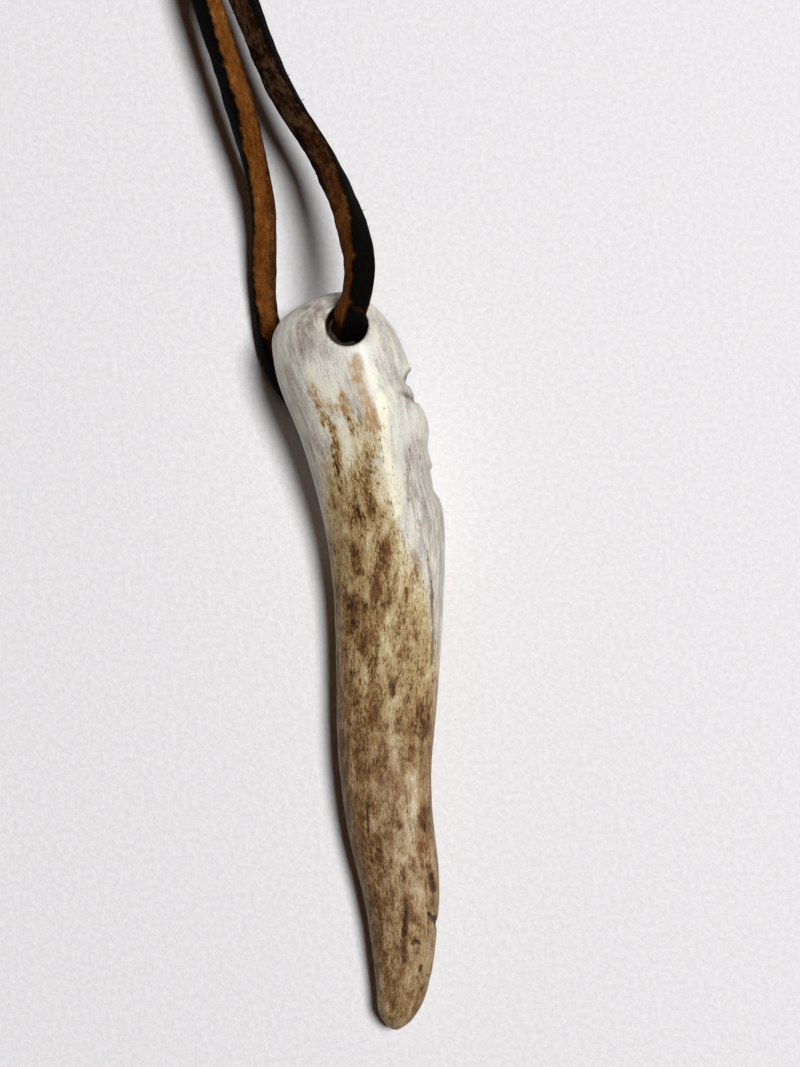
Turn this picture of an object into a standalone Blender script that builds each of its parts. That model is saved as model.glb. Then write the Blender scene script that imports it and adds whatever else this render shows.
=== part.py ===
"""A carved antler tip on a leather lace, lying on a table. Metres, +Z up.

The antler lies along Y with its drilled end towards +Y, and rests on a small flat spot.
The lace comes from its hank, passes under the antler, goes up through the drilled hole
and returns to the hank. Its two ends leave the hank's far end in a knot.
"""

import math

import bmesh
import bpy
import numpy as np
from mathutils import Vector

MM = 0.001

# The antler's overall sizes
LENGTH = 90.3 * MM
WIDTH = 18.9 * MM
THICKNESS = 11.9 * MM
FLAT_DEPTH = 0.3 * MM
DRILLED_END_ROUNDING = 6.0 * MM
TIP_ROUNDING = 3.5 * MM

# The lace and the hole that it passes through
LACE_DIAMETER = 3.2 * MM
HOLE_SLACK = 0.9 * MM
HOLE_DIAMETER = LACE_DIAMETER + 2 * HOLE_SLACK
HOLE_X = -0.1 * MM
END_WALL = 1.95 * MM
MOUTH_ROUNDING = 0.6 * MM
MOUTH_DEPTH = 0.8 * MM
LACE_ROOM = 1.7 * MM
LIFT = LACE_DIAMETER + LACE_ROOM
TOUCHING_GAP = 0.3 * MM

# The antler's form from its drilled end to its tip: along as a share of LENGTH, left, right
# and ridge (the highest line) as shares of WIDTH, thick of THICKNESS, and rise of LIFT
ANTLER_FORM = (
    # along, left, right, ridge, thick, rise
    (0.000, -0.333, 0.238, -0.048, 0.910, 1.03),
    (0.022, -0.453, 0.257, -0.060, 0.930, 1.02),
    (0.044, -0.493, 0.277, -0.060, 0.950, 1.00),
    (0.066, -0.496, 0.311, -0.045, 0.970, 0.98),
    (0.111, -0.475, 0.372, 0.020, 0.990, 0.92),
    (0.177, -0.382, 0.442, 0.116, 1.000, 0.78),
    (0.244, -0.310, 0.474, 0.153, 1.000, 0.52),
    (0.310, -0.264, 0.501, 0.175, 0.985, 0.28),
    (0.399, -0.250, 0.471, 0.175, 0.955, 0.07),
    (0.487, -0.272, 0.410, 0.127, 0.910, 0.00),
    (0.576, -0.304, 0.340, 0.053, 0.860, 0.00),
    (0.664, -0.313, 0.278, -0.005, 0.805, 0.00),
    (0.753, -0.277, 0.269, 0.000, 0.745, 0.00),
    (0.819, -0.231, 0.263, 0.015, 0.680, 0.02),
    (0.886, -0.207, 0.208, 0.000, 0.600, 0.06),
    (0.941, -0.201, 0.141, -0.030, 0.535, 0.10),
    (1.000, -0.209, 0.024, -0.090, 0.460, 0.14),
)

# How square the natural skin is, and how flat the smoothed facet on its upper right is
SKIN_ROUNDNESS = 0.92
FACET_ROUNDNESS = 1.25
FACET_SPAN = (0.08, 0.20, 0.40, 0.56)

# The carved edge: distance from the drilled end, and depth below the natural skin
CARVED_EDGE = (
    # the brow, undercut on its far side
    (10.1 * MM, 0.00 * MM),
    (10.5 * MM, 0.45 * MM),
    (11.6 * MM, 1.15 * MM),
    (13.7 * MM, 0.80 * MM),
    # the rounded boss
    (14.3 * MM, 0.45 * MM),
    (15.0 * MM, 0.10 * MM),
    (16.2 * MM, -0.10 * MM),
    (17.6 * MM, 0.00 * MM),
    (19.6 * MM, 0.55 * MM),
    # the nib and its step
    (21.8 * MM, 0.30 * MM),
    (22.2 * MM, 0.65 * MM),
    (24.7 * MM, 0.70 * MM),
    # the long shoulder
    (25.8 * MM, 0.15 * MM),
    (27.0 * MM, 0.00 * MM),
)
CARVED_FROM_UPPER = math.radians(52)
CARVED_FULL_UPPER = math.radians(18)
CARVED_FULL_LOWER = math.radians(-52)
CARVED_FROM_LOWER = math.radians(-84)
CARVED_BOW = 1.7 * MM

# How finely the antler is made
SIDES = 40
SIDES_TO_RIGHT = 0.35
BODY_STEP = 2.2 * MM
CARVED_STEP = 0.55 * MM
ROUNDED_RINGS = 5

# The lace's own points, from its hank under the antler, through the hole and back, in
# millimetres: across and along from the hole's axis, and up from the table
LACE_POINTS = (
    (-14.7, 48.5, 9.5),
    (-13.5, 41.0, 9.5),
    (-10.8, 28.6, 9.2),
    (-9.7, 22.4, 7.8),
    (-9.1, 16.5, 5.7),
    (-9.5, 11.0, 3.7),
    (-10.0, 6.6, 2.3),
    (-10.1, 3.2, 1.8),
    (-9.8, -0.4, 1.7),
    (-8.8, -4.0, 1.7),
    (-6.4, -7.6, 1.7),
    (-2.8, -9.3, 1.7),
    (1.2, -8.7, 1.7),
    (4.0, -6.6, 1.7),
    (4.6, -3.5, 1.7),
    (3.4, -0.8, 1.8),
    (1.3, 0.6, 3.1),
    (0.0, 0.6, 6.2),
    (-0.1, 0.1, 11.0),
    (0.5, 1.2, 15.4),
    (1.5, 3.4, 17.4),
    (2.1, 6.3, 18.1),
    (1.9, 9.6, 17.3),
    (1.3, 12.9, 15.6),
    (0.2, 16.5, 13.7),
    (-1.8, 21.7, 11.5),
    (-4.9, 27.8, 10.1),
    (-7.5, 35.2, 9.6),
    (-9.2, 41.0, 9.5),
    (-10.7, 45.7, 9.5),
)
LACE_STEP = 3.0 * MM

# The hank: both strands lie side by side and go down turn by turn, round two folds
HANK_FROM_HOLE = Vector((-4.1 * MM, 82.3 * MM, 0))
HANK_RUN = 48.0 * MM
HANK_HEIGHT = 11.2 * MM
HANK_WAIST = 4.7 * MM
HANK_CORNER = 1.0 * MM
FOLD_RADIUS = 9.7 * MM
STRAND_SPACING = 3.4 * MM
HANK_STEPS = 12

# The knot: a bulb with a neck towards the hank, and the two short ends behind it
KNOT_PROFILE = (
    # along from the neck's start, radius
    (0.0 * MM, 2.4 * MM),
    (2.2 * MM, 2.7 * MM),
    (3.8 * MM, 3.7 * MM),
    (6.4 * MM, 4.1 * MM),
    (9.0 * MM, 3.6 * MM),
    (10.8 * MM, 2.6 * MM),
    (16.0 * MM, 2.4 * MM),
    (24.0 * MM, 1.9 * MM),
)
KNOT_SIDES = 16


def clear_scene():
    for item in list(bpy.data.objects):
        bpy.data.objects.remove(item, do_unlink=True)


def new_collection(name):
    collection = bpy.data.collections.new(name)
    bpy.context.scene.collection.children.link(collection)
    return collection


def new_material(name, color, roughness):
    material = bpy.data.materials.new(name)
    material.use_nodes = True
    shader = material.node_tree.nodes["Principled BSDF"]
    shader.inputs["Base Color"].default_value = (*color, 1)
    shader.inputs["Roughness"].default_value = roughness
    shader.inputs["Metallic"].default_value = 0
    return material


def add_object(name, data, collection, material=None):
    item = bpy.data.objects.new(name, data)
    collection.objects.link(item)
    if material:
        data.materials.append(material)
    return item


def ease(value):
    """A smooth step from 0 to 1."""
    value = min(max(value, 0), 1)
    return value * value * (3 - 2 * value)


def smooth_curve(stations, rows):
    """A function that gives the row of numbers at any station, on a curve with no sudden bends."""
    stations, rows = np.array(stations), np.array(rows, dtype=float)
    steps = np.diff(stations)
    rises = np.diff(rows, axis=0) / steps[:, None]
    last = len(stations) - 1
    matrix, result = np.zeros((last + 1, last + 1)), np.zeros_like(rows)
    matrix[0, :2] = 2, 1
    result[0] = 3 * rises[0]
    for i in range(1, last):
        matrix[i, i - 1 : i + 2] = steps[i], 2 * (steps[i - 1] + steps[i]), steps[i - 1]
        result[i] = 3 * (steps[i] * rises[i - 1] + steps[i - 1] * rises[i])
    matrix[last, -2:] = 1, 2
    result[last] = 3 * rises[-1]
    slopes = np.linalg.solve(matrix, result)

    def value_at(station):
        i = int(np.clip(np.searchsorted(stations, station) - 1, 0, last - 1))
        share = (station - stations[i]) / steps[i]
        near, far = slopes[i] * steps[i], slopes[i + 1] * steps[i]
        difference = rows[i + 1] - rows[i]
        square = share**2 * (3 * difference - 2 * near - far)
        cube = share**3 * (near + far - 2 * difference)
        return rows[i] + share * near + square + cube

    return value_at


def straight_between(pairs, station):
    """Reads a profile of (station, value) pairs on straight lines, and 0 outside it."""
    for (start, a), (end, b) in zip(pairs, pairs[1:]):
        if start <= station <= end:
            return a + (b - a) * (station - start) / (end - start)
    return 0.0


def end_rounding(from_end, rounding):
    """The share of its full girth that the antler has near a rounded end."""
    if from_end >= rounding:
        return 1.0
    return math.sqrt(max(1 - (1 - from_end / rounding) ** 2, 0))


antler_form_at = smooth_curve([row[0] for row in ANTLER_FORM], [row[1:] for row in ANTLER_FORM])


def antler_form(from_end):
    """The antler's left, right, ridge, underside and top at a distance from its drilled end."""
    left, right, ridge, thick, rise = antler_form_at(from_end / LENGTH)
    middle = (left + right) / 2 * WIDTH
    girth = end_rounding(from_end, DRILLED_END_ROUNDING)
    girth *= end_rounding(LENGTH - from_end, TIP_ROUNDING)
    half_width = (right - left) / 2 * WIDTH * girth
    half_thick = thick / 2 * THICKNESS * girth
    height = rise * LIFT - FLAT_DEPTH + thick / 2 * THICKNESS
    lean = (ridge * WIDTH - middle) * girth
    return middle, half_width, height, half_thick, lean


def facet_share(along):
    """How much of the smoothed facet there is at a share of the antler's length."""
    start, full, fading, end = FACET_SPAN
    return ease((along - start) / (full - start)) * ease((end - along) / (end - fading))


def carved_depth(from_end, angle):
    """Depth of the carving, which bows round the antler's right flank."""
    if angle > 0:
        share = ease((CARVED_FROM_UPPER - angle) / (CARVED_FROM_UPPER - CARVED_FULL_UPPER))
    else:
        share = ease((angle - CARVED_FROM_LOWER) / (CARVED_FULL_LOWER - CARVED_FROM_LOWER))
    return share * straight_between(CARVED_EDGE, from_end + CARVED_BOW * angle**2)


def signed_power(value, power):
    return math.copysign(abs(value) ** power, value)


def antler_point(from_end, angle):
    """A point of the antler's skin. Angle 0 is its right edge and a quarter turn its ridge."""
    middle, half_width, height, half_thick, lean = antler_form(from_end)
    across, up = math.cos(angle), math.sin(angle)
    roundness = SKIN_ROUNDNESS
    if across > 0 and up > 0:
        roundness += (FACET_ROUNDNESS - SKIN_ROUNDNESS) * facet_share(from_end / LENGTH)
    x = middle + half_width * signed_power(across, roundness)
    z = height + half_thick * signed_power(up, roundness)
    if up > 0:
        x += lean * up * up
    turn = angle if angle <= math.pi else angle - 2 * math.pi
    depth = carved_depth(from_end, turn)
    return Vector((x - depth * math.cos(turn), LENGTH / 2 - from_end, z - depth * math.sin(turn)))


def ring_stations():
    """Distances from the drilled end where the antler has a ring of points."""
    stations = {from_end for from_end, depth in CARVED_EDGE}
    for i in range(1, ROUNDED_RINGS + 1):
        share = 1 - math.cos(math.pi / 2 * i / (ROUNDED_RINGS + 1))
        stations.add(share * DRILLED_END_ROUNDING)
        stations.add(LENGTH - share * TIP_ROUNDING)
    carved_start, carved_end = CARVED_EDGE[0][0] - CARVED_BOW, CARVED_EDGE[-1][0]
    station = DRILLED_END_ROUNDING
    while station < LENGTH - TIP_ROUNDING:
        stations.add(station)
        station += CARVED_STEP if carved_start < station < carved_end else BODY_STEP
    spaced = []
    for station in sorted(stations):
        if not spaced or station - spaced[-1] > CARVED_STEP / 3:
            spaced.append(station)
    return spaced


def antler_skin():
    """The antler before it is drilled and before its flat spot is cut."""
    mesh = bmesh.new()
    rings = []
    for from_end in ring_stations():
        ring = []
        for i in range(SIDES):
            turn = 2 * math.pi * i / SIDES
            angle = turn - SIDES_TO_RIGHT * math.sin(turn)
            ring.append(mesh.verts.new(antler_point(from_end, angle)))
        rings.append(ring)
    for near, far in zip(rings, rings[1:]):
        for i in range(SIDES):
            j = (i + 1) % SIDES
            mesh.faces.new((near[i], far[i], far[j], near[j]))
    for ring, from_end in ((rings[0], 0), (rings[-1], LENGTH)):
        end = mesh.verts.new(antler_point(from_end, 0))
        for i in range(SIDES):
            mesh.faces.new((ring[i], ring[(i + 1) % SIDES], end))
    bmesh.ops.recalc_face_normals(mesh, faces=mesh.faces)
    data = bpy.data.meshes.new("antler_tip")
    mesh.to_mesh(data)
    mesh.free()
    return data


def turned(name, profile, sides, collection, material=None):
    """A turned solid on the Z axis. Its profile is at +X and runs from top to bottom."""
    data = bpy.data.meshes.new(name)
    points = [(radius, 0, height) for radius, height in profile]
    data.from_pydata(points, [(i, i + 1) for i in range(len(points) - 1)], [])
    item = add_object(name, data, collection, material)
    screw = item.modifiers.new("turn", "SCREW")
    screw.steps = sides
    screw.render_steps = sides
    screw.use_merge_vertices = True
    screw.merge_threshold = 0.00001
    return item


def cut_away(item, cutter):
    cutter.hide_render = True
    cutter.display_type = "WIRE"
    cut = item.modifiers.new("cut by " + cutter.name, "BOOLEAN")
    cut.operation = "DIFFERENCE"
    cut.solver = "EXACT"
    cut.object = cutter


def hole_center():
    return Vector((HOLE_X, LENGTH / 2 - END_WALL - HOLE_DIAMETER / 2, 0))


def hole_cutter(collection):
    """A bore that widens to a rounded mouth at the antler's top and underside."""
    middle, half_width, height, half_thick, lean = antler_form(END_WALL + HOLE_DIAMETER / 2)
    top, under = height + half_thick, height - half_thick
    bore = HOLE_DIAMETER / 2
    wide = bore + MOUTH_ROUNDING
    beyond = THICKNESS / 2
    profile = (
        (0, top + beyond),
        (wide + beyond, top + beyond),
        (wide, top),
        (bore + MOUTH_ROUNDING / 3, top - MOUTH_DEPTH / 2),
        (bore, top - MOUTH_DEPTH),
        (bore, under + MOUTH_DEPTH),
        (bore + MOUTH_ROUNDING / 3, under + MOUTH_DEPTH / 2),
        (wide, under),
        (wide + beyond / 3, under - beyond / 3),
        (0, under - beyond / 3),
    )
    cutter = turned("hole_cutter", profile, 32, collection)
    cutter.location = hole_center()
    return cutter


def floor_cutter(collection):
    """A block whose top is the table, to cut the antler's flat spot."""
    mesh = bmesh.new()
    bmesh.ops.create_cube(mesh, size=1)
    bmesh.ops.scale(mesh, vec=(2 * WIDTH, 1.2 * LENGTH, THICKNESS), verts=mesh.verts)
    data = bpy.data.meshes.new("floor_cutter")
    mesh.to_mesh(data)
    mesh.free()
    cutter = add_object("floor_cutter", data, collection)
    cutter.location.z = -THICKNESS / 2
    return cutter


def make_antler(collection, cutters):
    material = new_material("antler", (0.58, 0.48, 0.35), 0.35)
    antler = add_object("antler_tip", antler_skin(), collection, material)
    cut_away(antler, hole_cutter(cutters))
    cut_away(antler, floor_cutter(cutters))
    antler.data.shade_smooth()
    return antler


def lace_line():
    """Points one step apart on a smooth curve through the lace's own points."""
    points = [hole_center() + Vector(point) * MM for point in LACE_POINTS]
    stations = [0.0]
    for near, far in zip(points, points[1:]):
        stations.append(stations[-1] + (far - near).length)
    point_at = smooth_curve(stations, points)
    count = round(stations[-1] / LACE_STEP)
    return [Vector(point_at(stations[-1] * i / count)) for i in range(count + 1)]


def make_lace(collection, material):
    curve = bpy.data.curves.new("lace", "CURVE")
    curve.dimensions = "3D"
    curve.bevel_depth = LACE_DIAMETER / 2
    curve.bevel_resolution = 2
    curve.use_fill_caps = True
    points = lace_line()
    spline = curve.splines.new("POLY")
    spline.points.add(len(points) - 1)
    for place, point in zip(spline.points, points):
        place.co = (*point, 1)
    return add_object("lace", curve, collection, material)


def hank_line():
    """Points and outward directions once round the hank: up its left run, and half a turn of the same."""
    half = []
    for i in range(HANK_STEPS):
        along = (i / HANK_STEPS - 0.5) * HANK_RUN
        pulled_in = HANK_WAIST * math.cos(math.pi * along / HANK_RUN) ** 2
        half.append((Vector((pulled_in - FOLD_RADIUS, along, 0)), Vector((-1, 0, 0))))
    for i in range(HANK_STEPS):
        angle = math.pi * (1 - i / HANK_STEPS)
        outward = Vector((math.cos(angle), math.sin(angle), 0))
        half.append((outward * FOLD_RADIUS + Vector((0, HANK_RUN / 2, 0)), outward))
    return half + [(-point, -outward) for point, outward in half]


def make_hank(collection, material):
    """The outer shape of the hank, which its tie pulls in at the middle."""
    side = (STRAND_SPACING + LACE_DIAMETER) / 2
    section = (
        (side - HANK_CORNER, HANK_HEIGHT),
        (side, HANK_HEIGHT - HANK_CORNER),
        (side, HANK_CORNER),
        (side - HANK_CORNER, 0),
        (HANK_CORNER - side, 0),
        (-side, HANK_CORNER),
        (-side, HANK_HEIGHT - HANK_CORNER),
        (HANK_CORNER - side, HANK_HEIGHT),
    )
    mesh = bmesh.new()
    rings = []
    for point, outward in hank_line():
        places = [point + outward * apart + Vector((0, 0, height)) for apart, height in section]
        rings.append([mesh.verts.new(place) for place in places])
    for ring, following in zip(rings, rings[1:] + rings[:1]):
        for i in range(len(section)):
            mesh.faces.new((ring[i], ring[i - 1], following[i - 1], following[i]))
    bmesh.ops.recalc_face_normals(mesh, faces=mesh.faces)
    data = bpy.data.meshes.new("lace_hank")
    mesh.to_mesh(data)
    mesh.free()
    hank = add_object("lace_hank", data, collection, material)
    hank.location = hole_center() + HANK_FROM_HOLE
    return hank


def make_knot(collection, material):
    """The knot lies where the strands leave the far end of the hank's left run."""
    length, neck_radius = KNOT_PROFILE[-1][0], KNOT_PROFILE[0][1]
    profile = [(0, length)]
    profile += [(radius, along) for along, radius in reversed(KNOT_PROFILE)]
    profile += [(0, 0)]
    knot = turned("lace_knot", profile, KNOT_SIDES, collection, material)
    fold_outside = FOLD_RADIUS + (STRAND_SPACING + LACE_DIAMETER) / 2 + TOUCHING_GAP
    neck_start = math.sqrt(fold_outside**2 - (FOLD_RADIUS - neck_radius) ** 2)
    knot.location = hole_center() + HANK_FROM_HOLE
    knot.location += Vector((-FOLD_RADIUS, HANK_RUN / 2 + neck_start, 0))
    knot.location.z = max(radius for along, radius in KNOT_PROFILE)
    knot.rotation_euler.x = math.radians(-90)
    return knot


def main():
    clear_scene()
    pendant = new_collection("carved_antler_tip")
    cutters = new_collection("cutters")
    make_antler(pendant, cutters)
    leather = new_material("lace", (0.20, 0.09, 0.03), 0.8)
    make_lace(pendant, leather)
    make_hank(pendant, leather)
    make_knot(pendant, leather)


main()
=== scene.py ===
"""The looks of a carved antler tip on a leather lace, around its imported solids. Metres, +Z up."""

import math
from itertools import product
from types import SimpleNamespace

import bmesh
import bpy
import numpy as np
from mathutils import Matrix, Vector


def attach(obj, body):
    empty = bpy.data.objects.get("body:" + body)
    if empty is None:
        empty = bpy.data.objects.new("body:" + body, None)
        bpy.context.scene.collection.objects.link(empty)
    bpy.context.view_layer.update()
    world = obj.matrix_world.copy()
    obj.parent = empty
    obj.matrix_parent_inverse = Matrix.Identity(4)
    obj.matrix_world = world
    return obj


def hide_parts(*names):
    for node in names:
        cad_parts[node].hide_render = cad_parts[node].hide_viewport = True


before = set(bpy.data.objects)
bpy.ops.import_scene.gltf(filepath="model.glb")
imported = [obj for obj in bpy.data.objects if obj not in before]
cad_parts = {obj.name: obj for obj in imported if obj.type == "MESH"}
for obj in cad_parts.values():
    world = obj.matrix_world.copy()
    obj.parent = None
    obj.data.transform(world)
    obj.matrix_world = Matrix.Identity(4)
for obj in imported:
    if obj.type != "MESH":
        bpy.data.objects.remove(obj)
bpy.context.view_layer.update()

MM = 0.001

# The photograph's camera: 300 mm above the table, turned 5 degrees, 2411 pixels of focal length
CAMERA_PLACE = Vector((4.0, 15.6, 300.0)) * MM
CAMERA_TURN = math.radians(-5)
PICTURE_HEIGHT = 1067
FOCAL_PIXELS = 2411
SENSOR_HEIGHT = 24.0

# The antler's overall sizes
LENGTH = 90.3
WIDTH = 18.9
THICKNESS = 11.9
FLAT_DEPTH = 0.3
DRILLED_END_ROUNDING = 6.0
TIP_ROUNDING = 3.5

# The lace and the hole that it passes through, in millimetres
LACE_WIDTH = 3.2
LACE_THICKNESS = 3.0
LACE_STEP = 0.9
SHOWN_LACE_STEP = 0.3
LACE_SIDES = 36
FUZZ_COUNT = 380
FUZZ_RADIUS = 0.065
FUZZ_SHORTEST = 0.22
FUZZ_LONGER = 0.80
FUZZ_LEAN = 0.7
FUZZ_ROOT = 0.12
HOLE_SLACK = 0.9
HOLE_RADIUS = LACE_WIDTH / 2 + HOLE_SLACK
HOLE_X = -0.1
END_WALL = 1.95
HOLE_Y = LENGTH / 2 - END_WALL - HOLE_RADIUS
MOUTH_ROUNDING = 0.4
LACE_ROOM = 1.7
LIFT = LACE_WIDTH + LACE_ROOM

# The antler's form from its drilled end to its tip: along as a share of LENGTH, left, right
# and ridge (the highest line) as shares of WIDTH, thick of THICKNESS, and rise of LIFT
ANTLER_FORM = (
    # along, left, right, ridge, thick, rise
    (0, -0.333, 0.238, -0.048, 0.91, 1.03),
    (0.022, -0.453, 0.257, -0.06, 0.93, 1.02),
    (0.044, -0.493, 0.277, -0.06, 0.95, 1),
    (0.066, -0.496, 0.311, -0.045, 0.97, 0.98),
    (0.111, -0.475, 0.372, 0.02, 0.99, 0.92),
    (0.177, -0.382, 0.442, 0.116, 1, 0.78),
    (0.244, -0.31, 0.474, 0.153, 1, 0.52),
    (0.31, -0.264, 0.501, 0.175, 0.985, 0.28),
    (0.399, -0.25, 0.471, 0.175, 0.955, 0.07),
    (0.487, -0.272, 0.41, 0.127, 0.91, 0),
    (0.576, -0.304, 0.34, 0.053, 0.86, 0),
    (0.664, -0.313, 0.278, -0.005, 0.805, 0),
    (0.753, -0.277, 0.269, 0, 0.745, 0),
    (0.819, -0.231, 0.263, 0.015, 0.68, 0.02),
    (0.886, -0.207, 0.208, 0, 0.6, 0.06),
    (0.941, -0.201, 0.141, -0.03, 0.535, 0.1),
    (1, -0.209, 0.024, -0.09, 0.46, 0.14),
)
SKIN_ROUNDNESS = 0.92
FACET_ROUNDNESS = 1.25
FACET_SPAN = (0.08, 0.20, 0.40, 0.56)

# The carved edge: distance from the drilled end, and depth below the natural skin
CARVED_EDGE = (
    (10.1, 0), (10.5, 0.45), (11.6, 1.15), (13.7, 0.8), (14.3, 0.45), (15, 0.1), (16.2, -0.1),
    (17.6, 0), (19.6, 0.55), (21.8, 0.3), (22.2, 0.65), (24.7, 0.7), (25.8, 0.15), (27, 0),
)
CARVED_FROM_UPPER = math.radians(52)
CARVED_FULL_UPPER = math.radians(18)
CARVED_FULL_LOWER = math.radians(-52)
CARVED_FROM_LOWER = math.radians(-84)
CARVED_BOW = 1.7
CARVED_SOFTNESS = 0.12

# How finely the antler is made
SIDES = 196
SIDES_TO_RIGHT = 0.35
BODY_STEP = 0.23
MOUTH_STEP = 0.14
ROUNDED_RINGS = 26
DRILL_SIDES = 96
SHARP_ANGLE = math.radians(50)

# How high or deep the antler's fine relief is
SWELLING = 0.09
FURROW_DEPTH = 0.055
GRAIN_DEPTH = 0.035
POCK_DEPTH = 0.05
STAIN_DEPTH = 0.05
LINE_DEPTH = 0.04
CRACK_DEPTH = 0.22
PIT_DEPTH = 0.28
CREASE_DEPTH = 0.32
PROUD_EDGE = 0.26

# The bore's painted shade begins and is full this far outside its wall
BORE_SHADE_FROM = 0.20
BORE_SHADE_FULL = 0.04

# The lace's shown stretch: its points across and along from the hole's axis and up from the
# table, where its black grain side faces at each, and how dark its cut edges are there
LACE_FORM = (
    # across, along, up, the facing's same three, darkness
    (-14.7, 48.5, 9.5, -0.7, 0, 0.72, 0.05),
    (-13.5, 41, 9.5, -0.8, 0, 0.6, 0.05),
    (-10.8, 28.6, 9.2, -0.87, 0, 0.49, 0.1),
    (-9.7, 22.4, 7.8, -0.96, 0, 0.28, 0.15),
    (-9.1, 16.5, 5.7, -1, 0, 0.02, 0.05),
    (-9.5, 11, 3.7, -1, 0, -0.08, 0.1),
    (-10, 6.6, 2.3, -1, 0, 0, 0.15),
    (-10.1, 3.2, 1.8, -0.98, 0, 0.18, 0.2),
    (-9.8, -0.4, 1.7, -0.92, 0, 0.38, 0.3),
    (-8.8, -4, 1.7, -0.83, -0.2, 0.52, 0.4),
    (-6.4, -7.6, 1.7, -0.55, -0.6, 0.6, 0.5),
    (-2.8, -9.3, 1.7, 0, -0.82, 0.58, 0.5),
    (1.2, -8.7, 1.7, 0.6, -0.55, 0.58, 0.5),
    (4, -6.6, 1.7, 0.84, -0.1, 0.54, 0.5),
    (4.6, -3.5, 1.7, 0.86, 0.15, 0.48, 0.5),
    (3.4, -0.8, 1.8, 0.92, 0.2, 0.3, 0.5),
    (1.3, 0.6, 3.1, 0.98, 0, 0.12, 0.4),
    (0, 0.6, 6.2, 0.74, -0.66, 0.02, 0),
    (-0.1, 0.1, 11, 0.44, -0.88, 0.1, 0),
    (0.5, 1.2, 15.4, 0.34, -0.7, 0.62, 0.05),
    (1.5, 3.4, 17.4, 0.34, -0.34, 0.88, 0.18),
    (2.1, 6.3, 18.1, 0.44, -0.05, 0.89, 0.24),
    (1.9, 9.6, 17.3, 0.6, 0, 0.8, 0.28),
    (1.3, 12.9, 15.6, 0.78, 0, 0.62, 0.34),
    (0.2, 16.5, 13.7, 0.92, 0, 0.4, 0.5),
    (-1.8, 21.7, 11.5, 0.98, 0, 0.18, 0.62),
    (-4.9, 27.8, 10.1, 0.98, 0, 0.2, 0.78),
    (-7.5, 35.2, 9.6, 0.95, 0, 0.32, 0.74),
    (-9.2, 41, 9.5, 0.89, 0, 0.45, 0.62),
    (-10.7, 45.7, 9.5, 0.7, 0, 0.72, 0.5),
)

# The hank: both strands go down side by side, turn by turn round two folds
HANK_MIDDLE = np.array((HOLE_X - 4.1, HOLE_Y + 82.3, 0))
HANK_RUN = 48.0
HANK_RUNS = 5
HANK_TOP = 9.65
HANK_WAIST = 4.7
FOLD_RADIUS = 9.7
STRAND_SPACING = 3.4
TURN_PITCH = 3.5
TURN_LENGTH = 2 * (HANK_RUN + math.pi * FOLD_RADIUS)
HANK_BOTTOM = HANK_TOP - TURN_PITCH * ((HANK_RUNS - 1) / 2 + HANK_RUN / TURN_LENGTH)
HANK_STEPS = 24

# The tie round the hank's waist, which presses its turns together and holds them off the table
TIE_THICKNESS = 1.1
TIE_WIDTH = 3.0
TIE_TURNS = 2
TIE_GAP = 0.2
TIE_SQUEEZE = 0.08
TIE_LIFT = 0.7
TIE_SIDE_SLACK = 0.25
TIE_TOP_SLACK = 0.1
TIE_FROM_TABLE = 0.05
BAND_STEPS = 120
BAND_SIDES = 20

# The knot, from the end of the hank's last run to the two short ends
KNOT_FROM_RUN = 17.7
KNOT_HEIGHT = 3.6
LACE_END_LENGTH = 17.0


def ease(value):
    """A smooth step from 0 to 1."""
    value = np.clip(value, 0, 1)
    return value * value * (3 - 2 * value)


def rise(value, start, end):
    """0 before start, 1 after end and a smooth step between them."""
    return ease((value - start) / (end - start))


def smooth_curve(stations, rows):
    """A function that gives rows of numbers at any stations, on a curve with no sudden bends."""
    stations, rows = np.array(stations), np.array(rows, dtype=float)
    steps = np.diff(stations)
    rises = np.diff(rows, axis=0) / steps[:, None]
    last = len(stations) - 1
    matrix, result = np.zeros((last + 1, last + 1)), np.zeros_like(rows)
    matrix[0, :2] = 2, 1
    result[0] = 3 * rises[0]
    for i in range(1, last):
        matrix[i, i - 1 : i + 2] = steps[i], 2 * (steps[i - 1] + steps[i]), steps[i - 1]
        result[i] = 3 * (steps[i] * rises[i - 1] + steps[i - 1] * rises[i])
    matrix[last, -2:] = 1, 2
    result[last] = 3 * rises[-1]
    slopes = np.linalg.solve(matrix, result)

    def values_at(places):
        places = np.asarray(places, dtype=float)
        i = np.clip(np.searchsorted(stations, places) - 1, 0, last - 1)
        share = ((places - stations[i]) / steps[i])[..., None]
        near, far = slopes[i] * steps[i][..., None], slopes[i + 1] * steps[i][..., None]
        difference = rows[i + 1] - rows[i]
        square = share**2 * (3 * difference - 2 * near - far)
        cube = share**3 * (near + far - 2 * difference)
        return rows[i] + share * near + square + cube

    return values_at


def lumps(points, size, seed):
    """Smooth random values from -1 to 1, with lumps of this size along each axis."""
    places = np.asarray(points) / np.asarray(size)
    cell = np.floor(places).astype(np.int64)
    share = ease(places - cell)
    total = np.zeros(places.shape[:-1])
    for corner in product((0, 1), repeat=3):
        x, y, z = np.moveaxis(cell + np.array(corner), -1, 0)
        key = (x * 73856093) ^ (y * 19349663) ^ (z * 83492791) ^ (seed * 2654435761)
        key = ((key & 0xFFFFFFFF) * 1274126177) & 0xFFFFFFFF
        key = ((key ^ (key >> 15)) * 2246822519) & 0xFFFFFFFF
        weight = np.prod(np.where(corner, share, 1 - share), axis=-1)
        total += weight * ((key ^ (key >> 13)) & 0xFFFF) / 0xFFFF
    return 2 * total - 1


def unit(vectors):
    """The same directions, each of length 1."""
    return vectors / np.linalg.norm(vectors, axis=-1, keepdims=True)


def distances(points):
    """How far along their line each of these points lies."""
    return np.concatenate(([0], np.cumsum(np.linalg.norm(np.diff(points, axis=0), axis=1))))


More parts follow.
